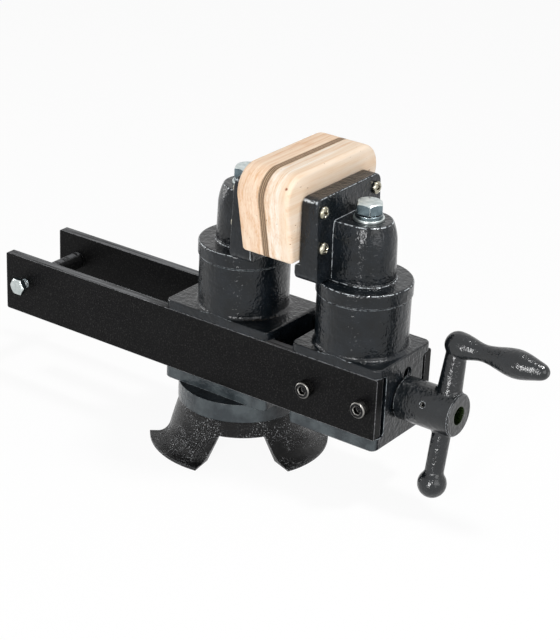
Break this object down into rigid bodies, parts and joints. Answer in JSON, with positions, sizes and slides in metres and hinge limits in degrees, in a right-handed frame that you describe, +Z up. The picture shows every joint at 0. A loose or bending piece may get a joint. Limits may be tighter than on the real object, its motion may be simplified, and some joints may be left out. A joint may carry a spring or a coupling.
{
  "type": "patternmakers vise",
  "caption": "Swivel-base patternmakers vise: wood-faced turning jaws on round posts, flat slide bars, screw and ball crank.",
  "frame": {"origin": "on the swivel axis, at the mouth of the threaded hole that the bench bolt enters; the feet stand 14 mm lower", "axes": "+X runs along the slide bars towards the crank, +Y is the far side, +Z is up along the swivel axis"},
  "size_m": [0.4844, 0.1432, 0.2552],
  "materials": {
    "base_paint": "black textured casting paint",
    "cast_paint": "glossy dark slate brush paint over rough iron casting",
    "bar_coat": "fine-textured black powder coat, worn bright along the top edges",
    "black_oxide": "black oxide, bright on the rims",
    "zinc_plate": "bright zinc plate",
    "yellow_zinc": "yellow passivated zinc plate",
    "bright_steel": "turned steel, lightly oiled",
    "bronze": "machined cast bronze",
    "pad_wood": "light close-grained softwood, sanded and bare",
    "pad_facing": "brown fibre facing"
  },
  "bodies": {
    "base": {"swivel_base": "base_paint"},
    "turntable": {"rear_block": "cast_paint", "lead_nut": "bronze", "pivot_washer": "zinc_plate", "pivot_circlip": "black_oxide", "rear_jaw_bolt": "zinc_plate", "rear_flat_washer": "zinc_plate", "rear_lock_washer": "zinc_plate"},
    "carriage": {"near_bar": "bar_coat", "far_bar": "bar_coat", "front_block": "cast_paint", "bar_screws": "black_oxide", "stop_rod": "black_oxide", "stop_bolts": "zinc_plate", "inner_thrust_washer": "bronze", "outer_thrust_washer": "bronze", "front_jaw_bolt": "zinc_plate", "front_flat_washer": "zinc_plate", "front_lock_washer": "zinc_plate"},
    "screw": {"lead_screw": "bright_steel", "crank": "cast_paint", "roll_pin": "bright_steel"},
    "rear_jaw_group": {"rear_jaw": "cast_paint", "rear_wood_pad": "pad_wood", "rear_pad_lining": "pad_facing", "rear_pad_screws": "yellow_zinc"},
    "front_jaw_group": {"front_jaw": "cast_paint", "front_wood_pad": "pad_wood", "front_pad_lining": "pad_facing", "front_pad_screws": "yellow_zinc"}
  },
  "joints": [
    {"name": "base_swivel", "type": "hinge", "parent": "base", "child": "turntable", "pos_m": [0, 0, 0], "axis": [0, 0, 1], "continuous": true},
    {"name": "carriage_slide", "type": "slide", "parent": "turntable", "child": "carriage", "axis": [1, 0, 0], "range_m": [0, 0.13]},
    {"name": "screw_spin", "type": "hinge", "parent": "carriage", "child": "screw", "pos_m": [0.1114, 0, 0.0701], "axis": [1, 0, 0], "range_deg": [0, 11700]},
    {"name": "rear_jaw_turn", "type": "hinge", "parent": "turntable", "child": "rear_jaw_group", "pos_m": [0, 0, 0.145], "axis": [0, 0, 1], "range_deg": [0, 45]},
    {"name": "front_jaw_turn", "type": "hinge", "parent": "carriage", "child": "front_jaw_group", "pos_m": [0.1114, 0, 0.145], "axis": [0, 0, 1], "range_deg": [0, 45]}
  ],
  "couplings": [
    {"joint": "screw_spin", "follows": "carriage_slide", "rad_per_m": 1570.8},
    {"joint": "rear_jaw_turn", "follows": "carriage_slide", "rad_per_m": 6.0415},
    {"joint": "front_jaw_turn", "follows": "carriage_slide", "rad_per_m": 6.0415}
  ]
}
